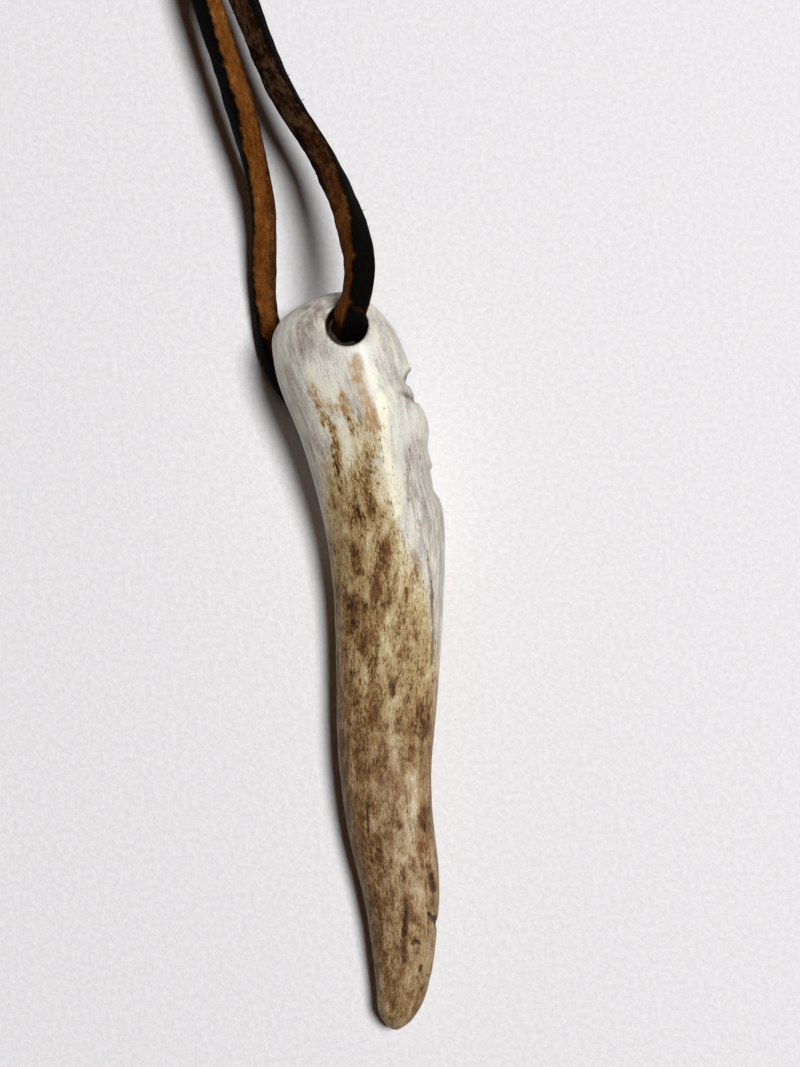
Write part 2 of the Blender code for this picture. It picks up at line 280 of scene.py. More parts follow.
def bent(value, exponent):
    """A sine or cosine that draws a boxy outline with an exponent below 1, and a sharp one above."""
    return np.sign(value) * np.abs(value) ** exponent


def new_object(name, data):
    """An object in the scene that holds this mesh, camera or light."""
    item = bpy.data.objects.new(name, data)
    bpy.context.scene.collection.objects.link(item)
    return item


def new_mesh(name, points, faces):
    """A smooth mesh object from points in millimetres."""
    data = bpy.data.meshes.new(name)
    data.from_pydata((np.asarray(points) * MM).tolist(), [], faces)
    data.shade_smooth()
    return new_object(name, data)


def new_plain_mesh(name, mesh):
    """A mesh object from a bmesh, which it frees."""
    data = bpy.data.meshes.new(name)
    mesh.to_mesh(data)
    mesh.free()
    return new_object(name, data)


def mesh_points(data):
    """A mesh's points in millimetres."""
    points = np.zeros(len(data.vertices) * 3)
    data.vertices.foreach_get("co", points)
    return points.reshape(-1, 3) / MM


def paint(data, name, values):
    """Stores a value or a vector at each point of a mesh, for its material."""
    values = np.asarray(values, dtype=float)
    kind, field = ("FLOAT", "value") if values.ndim == 1 else ("FLOAT_VECTOR", "vector")
    data.attributes.new(name, kind, "POINT").data.foreach_set(field, values.ravel())


def ring_faces(rings, count):
    """Faces between rings of this many points each."""
    faces = []
    for start in range(0, (rings - 1) * count, count):
        for j in range(count):
            here, beside = start + j, start + (j + 1) % count
            faces.append((here, beside, beside + count, here + count))
    return faces


def sweep(centers, outward, sideways, section):
    """Points and faces of a closed tube. section gives each ring's sideways and outward offsets."""
    rings, count = section.shape[:2]
    aside, out = sideways[:, None] * section[..., :1], outward[:, None] * section[..., 1:]
    points = centers[:, None] + aside + out
    faces = ring_faces(rings, count)
    faces.append(tuple(reversed(range(count))))
    faces.append(tuple((rings - 1) * count + j for j in range(count)))
    return points.reshape(-1, 3), faces


def make_camera():
    data = bpy.data.cameras.new("camera")
    data.sensor_fit = "VERTICAL"
    data.sensor_height = SENSOR_HEIGHT
    data.lens = FOCAL_PIXELS / PICTURE_HEIGHT * SENSOR_HEIGHT
    data.clip_start = 10 * MM
    data.clip_end = 10
    camera = new_object("camera", data)
    camera.location = CAMERA_PLACE
    camera.rotation_euler = (0, 0, CAMERA_TURN)
    bpy.context.scene.camera = camera


def hank_strand(outside):
    """Points of one strand round the hank, this far outside its middle line."""
    rows = []
    for run in range(HANK_RUNS):
        way = 1 if run % 2 == 0 else -1
        before = run * TURN_LENGTH / 2
        for step in range(HANK_STEPS + (run == HANK_RUNS - 1)):
            share = step / HANK_STEPS
            waist = math.sin(math.pi * share) ** 2
            across = HANK_WAIST * waist - FOLD_RADIUS - outside
            along = (share - 0.5) * HANK_RUN
            rows.append((way * across, way * along, before + share * HANK_RUN, waist))
        for step in range(HANK_STEPS if run < HANK_RUNS - 1 else 0):
            angle = math.pi * (1 - step / HANK_STEPS)
            across = (FOLD_RADIUS + outside) * math.cos(angle)
            along = (FOLD_RADIUS + outside) * math.sin(angle) + HANK_RUN / 2
            travelled = HANK_RUN + math.pi * FOLD_RADIUS * step / HANK_STEPS
            rows.append((way * across, way * along, before + travelled, 0))
    across, along, travelled, waist = np.array(rows).T
    height = HANK_TOP - TURN_PITCH * travelled / TURN_LENGTH
    height += waist * (TIE_LIFT - TIE_SQUEEZE * (height - HANK_BOTTOM))
    return HANK_MIDDLE + np.column_stack((across, along, height))


def knot_frame():
    """The knot's middle, and its heading and sideways directions."""
    heading, aside = np.array((0, 1, 0)), np.array((-1, 0, 0))
    middle = HANK_MIDDLE + aside * FOLD_RADIUS + heading * (HANK_RUN / 2 + KNOT_FROM_RUN)
    return middle + np.array((0, 0, KNOT_HEIGHT)), heading, aside


def strand_to_end(side):
    """A strand's points from the hank through the knot to its cut end. side is 1 or -1."""
    middle, heading, aside = knot_frame()
    points = []
    for along, apart, up in (
        # from the knot's middle
        (-14, 1.7, -1.95),
        (-8, 1.65, -1.2),
        (-3, 1.45, 0),
        (0, 1.4, 0.1),
        (3, 1.45, 0),
        (7, 1.9, -1.1),
        (11, 2.4, -1.85),
        (LACE_END_LENGTH, 3, -2.05),
    ):
        points.append(middle + heading * along + aside * apart * side + np.array((0, 0, up)))
    return points


def with_grain_up(points, darkness):
    """Rows like those of LACE_FORM, for points where the grain side faces up."""
    return np.column_stack((points, np.tile((0, 0, 1, darkness), (len(points), 1))))


def lace_route():
    """Rows like those of LACE_FORM, from one cut end round the whole loop to the other."""
    outer, inner = hank_strand(STRAND_SPACING / 2), hank_strand(-STRAND_SPACING / 2)
    before = np.concatenate((strand_to_end(1)[::-1], outer[::-1]))
    after = np.concatenate((inner, strand_to_end(-1)))
    shown = np.array(LACE_FORM) + (HOLE_X, HOLE_Y, 0, 0, 0, 0, 0)
    return np.concatenate((with_grain_up(before, 0.3), shown, with_grain_up(after, 0.5)))


def lace_rings():
    """Rings along the lace: their places, centres, directions and darkness, and the shown stretch."""
    route = lace_route()
    stations = distances(route[:, :3])
    values_at = smooth_curve(stations, route)
    shown = np.nonzero(route[:, 5] < 0.9)[0]
    start, end = stations[shown[0] - 1], stations[shown[-1] + 1]
    places = np.concatenate((
        np.arange(0, start, LACE_STEP),
        np.arange(start, end, SHOWN_LACE_STEP),
        np.linspace(end, stations[-1], round((stations[-1] - end) / LACE_STEP)),
    ))
    rows = values_at(places)
    centers = rows[:, :3]
    along = unit(np.gradient(centers, axis=0))
    outward = rows[:, 3:6]
    outward = unit(outward - along * np.sum(outward * along, axis=1)[:, None])
    sideways = np.cross(along, outward)
    return places, centers, outward, sideways, np.clip(rows[:, 6], 0, 1), (start, end)


def flat_section(count, half_width, half_thickness, squareness=0.55):
    """A flat strip's section with rounded corners, as sideways and outward offsets."""
    angle = np.linspace(0, 2 * math.pi, count, endpoint=False)
    across, out = bent(np.cos(angle), squareness), bent(np.sin(angle), squareness)
    return np.column_stack((half_width * across, half_thickness * out))


def ring_spots(section, places):
    """Where each point of a swept strip lies on it: sideways, along and outward."""
    spot = np.zeros((len(places), len(section), 3))
    spot[..., 0] = section[:, 0]
    spot[..., 1] = places[:, None]
    spot[..., 2] = section[:, 1]
    return spot


def make_fuzz(points, normals, shown, seed):
    """Short loose fibres on the shown stretch of the leather, as thin closed spikes."""
    chosen = np.random.default_rng(seed)
    places = chosen.choice(shown, FUZZ_COUNT)
    length = FUZZ_SHORTEST + FUZZ_LONGER * chosen.random(FUZZ_COUNT) ** 3
    lean = chosen.normal(0, FUZZ_LEAN, (FUZZ_COUNT, 3))
    fuzz, faces = [], []
    for place, long, slant in zip(places, length, lean):
        out = unit(normals[place] + slant)
        aside = unit(np.cross(out, (0.3, 0.5, 0.8)))
        across = np.cross(out, aside)
        root = points[place] - FUZZ_ROOT * normals[place]
        first = len(fuzz)
        for turn in range(3):
            angle = 2 * math.pi * turn / 3
            fuzz.append(root + FUZZ_RADIUS * (math.cos(angle) * aside + math.sin(angle) * across))
        fuzz.append(root + out * long)
        faces += [(first, first + 1, first + 3), (first + 1, first + 2, first + 3)]
        faces += [(first + 2, first, first + 3), (first + 2, first + 1, first)]
    return np.array(fuzz), faces, places


def make_lace():
    """The whole leather lace, black on its grain side and tan on its other sides."""
    places, centers, outward, sideways, darkness, shown = lace_rings()
    section = flat_section(LACE_SIDES, LACE_WIDTH / 2, LACE_THICKNESS / 2)
    spot = ring_spots(section, places)
    out_share = section[:, 1] / (LACE_THICKNESS / 2) + 0 * spot[..., 0]
    ragged = 0.08 * lumps(spot, (9, 2.6, 9), 1) + 0.10 * lumps(spot, (2, 0.9, 2), 2)
    ragged += 0.16 * lumps(spot, (0.5, 0.30, 0.5), 11)
    grain = rise(out_share + ragged, 0.62, 0.84)
    fibres = 0.075 * lumps(spot, (0.8, 1.5, 0.8), 3) + 0.055 * lumps(spot, (0.45, 0.75, 0.45), 4)
    # the folded length that isn't shown is plainer
    near_shown = rise(places, shown[0] - 8, shown[0]) * rise(-places, -shown[1] - 8, -shown[1])
    fibres *= (0.3 + 0.7 * near_shown)[:, None]
    sway = 0.045 * lumps(spot, (9, 5.0, 9), 5) + 0.03 * lumps(spot, (9, 2.0, 9), 6)
    girth = 1 + sway + fibres * (1 - 0.5 * grain) / (LACE_WIDTH / 2)
    points, faces = sweep(centers, outward, sideways, section[None] * girth[..., None])
    normals = unit(points - np.repeat(centers, LACE_SIDES, axis=0))
    run = (spot[..., 1].ravel() > shown[0]) & (spot[..., 1].ravel() < shown[1])
    clear = points[:, 2] > 1.2
    fuzz, fuzz_faces, roots = make_fuzz(points, normals, np.nonzero(run & clear)[0], 7)
    first = len(points)
    faces += [tuple(first + corner for corner in face) for face in fuzz_faces]
    lace = new_mesh("leather_lace", np.concatenate((points, fuzz)), faces)
    roots = np.concatenate((np.arange(first), np.repeat(roots, 4)))
    paint(lace.data, "grain", grain.ravel()[roots])
    far_edge = 0.40 * rise(-out_share + ragged, 0.40, 0.95)
    paint(lace.data, "darkness", np.clip(darkness[:, None] + far_edge, 0, 1).ravel()[roots])
    paint(lace.data, "spot", spot.reshape(-1, 3)[roots])
    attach(lace, "root")
    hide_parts("lace", "lace_hank")
    return lace, centers


def band_course(widest, highest, pitch, turns, start, tuck, roundness, flatter_right):
    """The middle line of a band wound round a heading along Y.

    tuck is how far its ends dive in. roundness is 1 for an oval and nearer 0 for a box.
    flatter_right is the share by which its right half is flatter than its left.
    """
    count = round(BAND_STEPS * turns)
    angle = np.linspace(0, 2 * math.pi * turns, 40 * count) + start
    across, up = bent(np.cos(angle), roundness), bent(np.sin(angle), roundness)
    up *= 1 - flatter_right * rise(across, -0.2, 0.2)
    travelled = np.cumsum(np.hypot(widest * np.gradient(across), highest * np.gradient(up)))
    travelled = (travelled - travelled[0]) / (travelled[-1] - travelled[0])
    share = np.linspace(0, 1, count)
    across, up = np.interp(share, travelled, across), np.interp(share, travelled, up)
    tucked = tuck * (rise(-share, -0.10, 0.0) + rise(share, 0.90, 1.0))
    return np.column_stack((
        (widest - tucked) * across,
        pitch * turns * (share - 0.5),
        (highest - tucked) * up,
    ))


def wound_band(name, middle, width, thickness, **winding):
    """A flat band of leather wound round this middle. band_course says what winding holds."""
    centers = middle + band_course(**winding)
    course = unit(np.gradient(centers, axis=0))
    outward = unit(np.column_stack((course[:, 2], 0 * course[:, 1], -course[:, 0])))
    sideways = np.cross(course, outward)
    section = flat_section(BAND_SIDES, width / 2, thickness / 2)
    spot = ring_spots(section, distances(centers))
    girth = 1 + 0.05 * lumps(spot, (1.5, 2.0, 1.5), 9)
    points, faces = sweep(centers, outward, sideways, section[None] * girth[..., None])
    band = new_mesh(name, points, faces)
    out_share = section[:, 1] / (thickness / 2) + 0 * spot[..., 0]
    grain = rise(out_share + 0.3 * lumps(spot, (2, 2, 2), 10), -0.2, 0.3)
    paint(band.data, "grain", grain.ravel())
    paint(band.data, "darkness", np.full(len(points), 0.5))
    paint(band.data, "spot", spot.reshape(-1, 3))
    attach(band, "root")
    return band


def make_knot():
    """The lace's own wraps that hold its two ends together."""
    knot = wound_band(
        "lace_knot_wraps", knot_frame()[0], width=2.7, thickness=1.25, widest=3.75, highest=2.45,
        pitch=2.8, turns=2.6, start=math.radians(200), tuck=0.9, roundness=0.7, flatter_right=0,
    )
    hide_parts("lace_knot")
    return knot


def make_tie():
    """The band round the hank's waist, where three runs lie on the left and two on the right."""
    beyond_middle = (STRAND_SPACING + LACE_WIDTH + TIE_THICKNESS) / 2
    highest_run = hank_strand(STRAND_SPACING / 2)[HANK_STEPS // 2, 2]
    top = highest_run + (LACE_THICKNESS + TIE_THICKNESS) / 2 + TIE_TOP_SLACK
    low = TIE_THICKNESS / 2 + TIE_FROM_TABLE
    return wound_band(
        "lace_tie", HANK_MIDDLE + np.array((0, 0, (top + low) / 2)), width=TIE_WIDTH,
        thickness=TIE_THICKNESS, widest=FOLD_RADIUS - HANK_WAIST + beyond_middle + TIE_SIDE_SLACK,
        highest=(top - low) / 2, pitch=TIE_WIDTH + TIE_GAP, turns=TIE_TURNS, start=math.radians(-100),
        tuck=0.0, roundness=0.25, flatter_right=0.30,
    )


antler_form_at = smooth_curve([row[0] for row in ANTLER_FORM], [row[1:] for row in ANTLER_FORM])


def end_rounding(from_end, rounding):
    """The share of its full girth that the antler has near a rounded end."""
    missing = np.clip(1 - from_end / rounding, 0, 1)
    return np.sqrt(1 - missing**2)


def antler_form(from_end):
    """The antler's middle, half width, height, half thickness and lean at a distance from its end."""
    left, right, ridge, thick, lift = np.moveaxis(antler_form_at(from_end / LENGTH), -1, 0)
    middle = (left + right) / 2 * WIDTH
    girth = end_rounding(from_end, DRILLED_END_ROUNDING) * end_rounding(LENGTH - from_end, TIP_ROUNDING)
    half_width = (right - left) / 2 * WIDTH * girth
    half_thick = thick / 2 * THICKNESS * girth
    height = lift * LIFT - FLAT_DEPTH + thick / 2 * THICKNESS
    lean = (ridge * WIDTH - middle) * girth
    return middle, half_width, height, half_thick, lean


def facet_share(along):
    """How much of the smoothed facet there is at a share of the antler's length."""
    start, full, fading, end = FACET_SPAN
    return rise(along, start, full) * rise(-along, -end, -fading)


def carved_depth(from_end, angle):
    """Depth of the carving, which bows round the antler's right flank."""
    upper = rise(-angle, -CARVED_FROM_UPPER, -CARVED_FULL_UPPER)
    lower = rise(angle, CARVED_FROM_LOWER, CARVED_FULL_LOWER)
    bowed = from_end + CARVED_BOW * angle**2
    places, depths = np.array(CARVED_EDGE).T
    depth = 0
    for offset in (-1, -0.5, 0, 0.5, 1):
        depth = depth + np.interp(bowed + offset * CARVED_SOFTNESS, places, depths, 0, 0) / 5
    return np.minimum(upper, lower) * depth


def antler_rings():
    """Distances from the drilled end where the antler has a ring of points."""
    share = 1 - np.cos(math.pi / 2 * np.arange(1, ROUNDED_RINGS + 1) / (ROUNDED_RINGS + 1))
    mouth_end = END_WALL + 2 * HOLE_RADIUS + 2 * MOUTH_ROUNDING
    return np.concatenate((
        share * DRILLED_END_ROUNDING,
        np.arange(DRILLED_END_ROUNDING, mouth_end, MOUTH_STEP),
        np.arange(mouth_end, LENGTH - TIP_ROUNDING, BODY_STEP),
        LENGTH - share[::-1] * TIP_ROUNDING,
    ))


def antler_skin():
    """The antler's plain carved skin as a grid of points, a ring a row."""
    stations = antler_rings()[:, None]
    turn = 2 * math.pi * np.arange(SIDES) / SIDES
    angle = (turn - SIDES_TO_RIGHT * np.sin(turn))[None]
    middle, half_width, height, half_thick, lean = antler_form(stations)
    across, up = np.cos(angle), np.sin(angle)
    facet = facet_share(stations / LENGTH) * (across > 0) * (up > 0)
    roundness = SKIN_ROUNDNESS + (FACET_ROUNDNESS - SKIN_ROUNDNESS) * facet
    x = middle + half_width * bent(across, roundness)
    z = height + half_thick * bent(up, roundness)
    x = x + lean * np.clip(up, 0, None) ** 2
    around = np.where(angle > math.pi, angle - 2 * math.pi, angle)
    depth = carved_depth(stations, around)
    x, z = x - depth * np.cos(around), z - depth * np.sin(around)
    y = LENGTH / 2 - stations + 0 * x
    return np.stack((x, y, z), axis=-1)


def grid_normals(points):
    """Outward directions of a grid of points that is closed around."""
    along = np.gradient(points, axis=0)
    around = np.roll(points, -1, axis=1) - np.roll(points, 1, axis=1)
    return unit(np.cross(around, along))


def straightened(points):
    """Each point as it would lie if the antler were straight: across, along and up from its middle."""
    along = LENGTH / 2 - points[..., 1]
    middle, _, height, _, _ = antler_form(np.clip(along, 0, LENGTH))
    return np.stack((points[..., 0] - middle, along, points[..., 2] - height), axis=-1)


def near_line(along, across, line, width):
    """1 on a line of (along, across) points, fading out at this width from it."""
    nearest = np.full(np.shape(along), 1e9)
    for (a, b), (c, d) in zip(line, line[1:]):
        length = max((c - a) ** 2 + (d - b) ** 2, 1e-9)
        share = np.clip(((along - a) * (c - a) + (across - b) * (d - b)) / length, 0, 1)
        nearest = np.minimum(nearest, np.hypot(along - a - share * (c - a), across - b - share * (d - b)))
    return rise(-nearest, -width, -0.15 * width)


def strongest(along, across, marks):
    """The strongest of several marks, each a line of points with its width and strength."""
    value = np.zeros(np.shape(along))
    for *line, width, strength in marks:
        value = np.maximum(value, strength * near_line(along, across, line, width))
    return value


# Marks on the antler's upper side. Their points are millimetres from the drilled end and across.
PEACH_MARKS = (
    ((9, 0.5), (11.3, 0.8), (13.3, 1.2), (16.3, 1.9), 1.5, 1.1),
    ((14, 1.8), (16.6, 2.5), 0.8, 1.2),
    ((12.4, -1.6), (14.6, -1), 1, 0.8),
    ((11.6, -4.7), (13.6, -3.9), (14.2, -2.2), (13.4, -1.3), 1, 0.7),
)
STAIN_FINGERS = (
    ((15.6, 1.6), (17, 1.9), (19, 1.9), 1.6, 0.48),
    ((12.8, -1.5), (14.3, -1.2), (16.5, -0.7), (19, 0), 1, 0.46),
    ((11.6, -4.8), (13.4, -4.5), (15.2, -4), 0.8, 0.36),
    ((15.2, -3.9), (16.4, -2.9), (18.4, -2.6), (21.2, -2.6), 1.05, 0.57),
    ((13.4, -3.7), (14.6, -2.4), (14.2, -1.4), 1.3, 0.24),
    ((17.2, -0.2), (19.5, 0.8), 2.6, 0.46),
)
DARK_MARKS = (
    # along the left side towards the tip: painted shade
    ((36, -4.6), (50, -4.9), (66, -4.2), (84, -2.8), 4.2, 0.4),
    ((41, 3.6), (46, 3.8), 2.4, 0.35),
    ((12, -4.7), (15.2, -4), (16.4, -2.9), (18.4, -2.6), (21.2, -2.6), 0.7, 1),
    ((12.9, -1.5), (15.2, -1.1), (17.4, -0.5), 0.7, 1),
    ((15, 2.2), (17.2, 2.4), 0.7, 0.5),
    ((20.2, 0.6), (23.5, 0.5), (26.8, 0.9), 1.2, 0.8),
    ((25.2, -1.6), (28.8, -0.8), 1.2, 0.8),
    ((22, -2.9), (25.6, -3.2), 1, 0.6),
    ((31, 2.2), (33, 1.6), (35.3, 1.1), (37.4, 1.4), 1.9, 1),
    ((36.8, -2.5), (40.9, -2.8), (42.4, -1.8), (44.6, -0.9), 1.4, 0.95),
    ((38, -1.2), (42, -0.8), 1.6, 0.55),
    ((30.4, -1.4), (33.6, -1.6), 1, 0.85),
    ((38.4, 0.4), (39.8, 0.6), 0.8, 0.8),
    ((45.2, -0.9), (47.2, -0.6), 0.9, 0.8),
    ((46.8, 1.9), (48.4, 1.3), 0.8, 0.8),
    ((36.2, 4.2), (37.9, 4.1), 0.45, 0.9),
    ((43, 3.8), (44.6, 3.5), 0.5, 0.8),
    ((48.5, -3), (53.5, -2.6), 1.8, 0.55),
    ((48.6, -1.2), (52, -1.3), 1.6, 0.6),
    ((50.8, 4.9), (53.6, 4.4), 1.7, 0.85),
    ((51, 1.6), (53.4, 1.9), 1, 0.5),
    ((55, -0.6), (58.5, -0.8), 1.5, 0.5),
    ((63.4, 0.2), (64.6, 0.6), 1.2, 0.85),
    ((67.8, 3.4), (69.2, 3.2), 1.1, 0.7),
    ((63.4, 3.9), (64.8, 3.9), 1.1, 0.6),
    ((75, 1.2), (76.5, 1.4), 1, 0.8),
    ((68.8, 2), (70.4, 2.2), 0.8, 0.7),
    ((70.2, 4), (73, 4.3), 0.7, 0.9),
    ((66, -2.4), (68.2, -2), 1.1, 0.7),
    ((74, -3.2), (77, -2.8), 1.4, 0.5),
    ((61, -2.6), (63, -2.4), 1, 0.6),
    ((69.6, 0.9), (71.4, 0.8), 0.6, 0.9),
    ((71.4, 1), (75, 0.9), 1, 0.55),
    ((75, 0.7), (78.1, 0.2), 0.6, 0.9),
    ((78.1, 0.2), (81.6, -0.1), 0.9, 0.65),
    ((75.6, 1.6), (77.4, 2.4), 0.9, 0.6),
    ((84, -2), (87, -1.4), 1.6, 0.5),
    ((73.4, -0.7), (76.2, -0.2), 1.4, 0.4),
    ((34.6, 1.3), (36.6, 1.1), 2.3, 0.9),
)
RED_MARKS = (
    ((14.4, 2.3), (16.4, 2.6), 0.5, 0.7),
    ((32.6, 5.3), (36.2, 4.9), 0.7, 0.9),
    ((30.6, 2.6), (32.6, 2.4), 0.9, 0.7),
    ((33.6, 1.6), (36.6, 1), 1.4, 0.6),
    ((47.6, -1.4), (51.5, -1.2), 1.4, 0.4),
    ((39, -1), (41.5, 0.2), 1.6, 0.5),
    ((67.6, 3.5), (69, 3.6), 1.2, 0.7),
    ((58, 0.8), (61.5, 1.2), 1.6, 0.5),
    ((38.8, 4.6), (39.6, 4.7), 0.6, 0.6),
)
FACET_MARKS = (
    ((31.7, 7.1), (34.5, 7.2), (38.3, 7.1), (42, 6.95), (45.3, 6.3), 0.28, 0.8),
    ((19.4, 6), (25.4, 5.4), 0.8, 0.35),
    ((18.4, 7.3), (22.2, 7.3), 0.6, 0.35),
    ((28, 6.3), (32, 6.6), 0.6, 0.3),
)
CRACKS = (
    ((61.6, -2.8), (65.8, -3), (69, -2.9), 0.46, 0.5),
    ((65.6, -2.1), (67.4, -1.7), (70.8, -1.5), (73, -1.3), 0.42, 0.42),
    ((61.6, 1.9), (65, 2.2), (67.2, 2.3), 0.42, 0.42),
    ((69.8, 0.9), (71.2, 0.8), 0.46, 0.5),
    ((74.6, 0.7), (76.4, 0.5), (78.1, 0.1), 0.46, 0.54),
    ((79, 0), (81.4, -0.1), 0.46, 0.46),
    ((71.1, 4.1), (72.9, 4.3), 0.44, 0.56),
    ((75.9, 3.5), (76.7, 4), 0.38, 0.9),
    ((76.7, 4), (77.6, 4.4), (78.9, 4.7), 0.62, 1),
)
PITS = (
    ((77.8, 0.2), (78.2, 0.1), 0.42, 0.9),
    ((79.3, 1.2), (79, 1.6), (79.4, 2), 0.4, 0.9),
    ((80.6, 1.8), (80.7, 1.6), 0.32, 0.6),
    ((82.3, 2), (82.8, 1.8), 0.42, 0.9),
    ((83.6, 2.6), (83.8, 2.7), 0.3, 0.7),
    ((9.2, 3.3), (9.25, 3.3), 0.26, 0.5),
)
PALE_MARKS = (
    ((16.4, -1.6), (20.4, -1.3), 1.2, 0.9),
    # below the hole: a painted highlight
    ((6.8, 0.8), (7.8, 2.3), 1.7, 0.9),
    ((14.9, 4.8), (18.4, 5.6), 2.1, 0.6),
    ((15.6, 7), (17.6, 7.4), 1.6, 0.7),
    ((8.2, 4.6), (9.8, 6.2), 1.5, 0.35),
    ((28.5, 3.6), (33, 3.8), (37, 4.2), 2, 0.45),
    ((38, 3.6), (41, 3.4), 1.6, 0.35),
    ((61.8, 1.5), (65.2, 1.8), (68.8, 1.6), 1.1, 1),
    ((58.4, 2.8), (63.4, 2.7), 1.3, 1),
    ((72.5, 2.6), (75, 2.8), 1.3, 0.5),
    ((70, -0.6), (80, -1.2), 1.2, 0.4),
)
# The crest's cream line, brightened into a painted highlight
CREST_AND_HIGHLIGHT = ((13.6, 3.3), (19.6, 3.3), (27, 3.8), 1.05, 0.9)
# The carved creases are real grooves, and their dark grey is painted shade, darkest under the carved brow
CREASES_AND_PAINTED_SHADE = (
    ((13, 5.5), (13.3, 6.3), 0.42, 0.5),
    ((13.25, 6.2), (13.9, 7.2), 0.5, 1),
    ((10.4, 7.2), (10.7, 6.7), (11.2, 6.4), (11.6, 6.5), 0.62, 1),
)
GREY_MARKS = (
    # on the carved ramp's face: painted shade
    ((11.4, 4.9), (12.4, 6.1), (13, 6.9), 1.2, 0.6),
    ((0, -2.4), (0.5, 0.4), 0.8, 1),
    ((2.6, -3.6), (5.2, -5.2), (7.2, -6.2), 2.6, 0.9),
    ((1, -1), (1.6, 1.4), 1.4, 0.5),
    ((9, -7.6), (16, -6.2), (24, -5.4), 2.2, 0.55),
    ((5, 4.4), (9, 5.6), 1.6, 0.3),
)
RING_MARK = (56, 2.6)
RING_RADIUS = 0.9
LEFT_OF_STAIN = ((0, -4), (17.8, -4.6), (24.1, -4.9), (28.4, -5), (34, -5.6), (41.8, -9), (90.3, -9))
RIGHT_OF_STAIN = (
    (0, 2.6), (16.3, 2.9), (19.5, 3.3), (22.3, 3.6), (25.5, 3.9), (28, 4.3), (31, 5),
    (34, 6.5), (38, 7.3), (42.7, 7.6), (47.7, 8), (55, 10), (90.3, 10),
)
RIGHT_FADE = 3.2
FACET_EDGE = (
    (0, 9), (15.5, 9), (18.5, 5.4), (20.5, 4.6), (27, 5.2), (33, 6.8), (40, 7), (45, 6.6), (58, 7.5),
)


def antler_marks(points):
    """Where the antler has each kind of mark, from 0 to 1."""
    straight = straightened(points)
    along, across = straight[..., 1], points[..., 0]
    wobble = lumps(straight, (1.2, 3.0, 1.2), 21)
    ragged = lumps(straight, (0.45, 1.2, 0.45), 22)
    upper = rise(straight[..., 2], -2.5, -0.5)
    # the marks wander a little, as stains in bone do
    there = along + 0.5 * ragged, across + 0.14 * wobble + 0.12 * ragged
    left = np.interp(along, *np.array(LEFT_OF_STAIN).T)
    right = np.interp(along, *np.array(RIGHT_OF_STAIN).T)
    within = rise(across, left - 1.2, left + 1.6) * rise(-across, -right - 0.8, -right + RIGHT_FADE)
    begins = rise(along + 0.8 * wobble, 13.0, 30.0)
    above = np.maximum(within * begins, strongest(*there, STAIN_FINGERS))
    below = rise(along + 3 * wobble, 24.0, 46.0)
    ring = np.abs(np.hypot(along - RING_MARK[0], across - RING_MARK[1]) - RING_RADIUS + 0.12 * wobble)
    dark = np.maximum(strongest(*there, DARK_MARKS), 0.8 * rise(-ring, -0.40, -0.05) * (0.6 + 0.4 * ragged))
    facet_edge = np.interp(along, *np.array(FACET_EDGE).T)
    facet = rise(there[1], facet_edge - 0.5, facet_edge + 0.9) * rise(-along, -56, -44)
    return {
        "stain": above * upper + below * (1 - upper),
        "peach": strongest(*there, PEACH_MARKS) * upper,
        # the underside is darkened towards the tip, painted shade that also deepens the floor's shadow
        # beside it
        "dark": dark * upper + 0.4 * below * (1 - upper),
        "red": strongest(*there, RED_MARKS) * upper,
        "pale": strongest(*there, PALE_MARKS) * upper,
        "crest_cream_and_highlight": strongest(*there, (CREST_AND_HIGHLIGHT,)) * upper,
        "grey": strongest(*there, GREY_MARKS) * upper,
        "line": strongest(*there, FACET_MARKS) * upper,
        "crack": strongest(along, across + 0.10 * ragged, CRACKS) * upper,
        "pit": strongest(along + 0.1 * wobble, across + 0.08 * ragged, PITS) * upper,
        # grooves cut into the skin, darkened with painted shade
        "crease_and_painted_shade": strongest(along, across, CREASES_AND_PAINTED_SHADE) * rise(straight[..., 2], -4.0, -2.0),
        "calm": rise(along, 44, 60),
        "facet": facet * upper,
    }


def mouth_rounding_depth(points):
    """How far the skin sinks round the hole's mouths."""
    from_axis = np.hypot(points[..., 0] - HOLE_X, points[..., 1] - HOLE_Y)
    share = np.clip((HOLE_RADIUS + MOUTH_ROUNDING - from_axis) / MOUTH_ROUNDING, 0, 1)
    return MOUTH_ROUNDING * (1 - np.sqrt(1 - np.minimum(share, 0.98) ** 2))


def antler_relief(points):
    """How far the skin stands out from the plain form: furrows, grain, cracks and pits."""
    straight = straightened(points)
    marks = antler_marks(points)
    rough = np.clip(0.12 + 0.88 * marks["stain"] - 0.8 * marks["facet"], 0, 1)
    relief = SWELLING * lumps(straight, (4.0, 12.0, 4.0), 31)
    relief += rough * FURROW_DEPTH * lumps(straight, (0.9, 8.0, 0.9), 32)
    relief += rough * GRAIN_DEPTH * lumps(straight, (0.5, 2.2, 0.5), 33)
    relief -= rough * POCK_DEPTH * rise(lumps(straight, (0.55, 1.6, 0.55), 34), 0.35, 0.75)
    relief -= STAIN_DEPTH * marks["dark"] * rough + LINE_DEPTH * marks["line"]
    # the carved edge stands a little prouder between its first two notches
    along, across = straight[..., 1], points[..., 0]
    relief += PROUD_EDGE * rise(along, 9.4, 10.2) * rise(-along, -14.8, -13.4) * rise(across, 4.6, 6.6)
    relief = relief - CRACK_DEPTH * marks["crack"] ** 2 - PIT_DEPTH * marks["pit"]
    return relief - CREASE_DEPTH * marks["crease_and_painted_shade"]


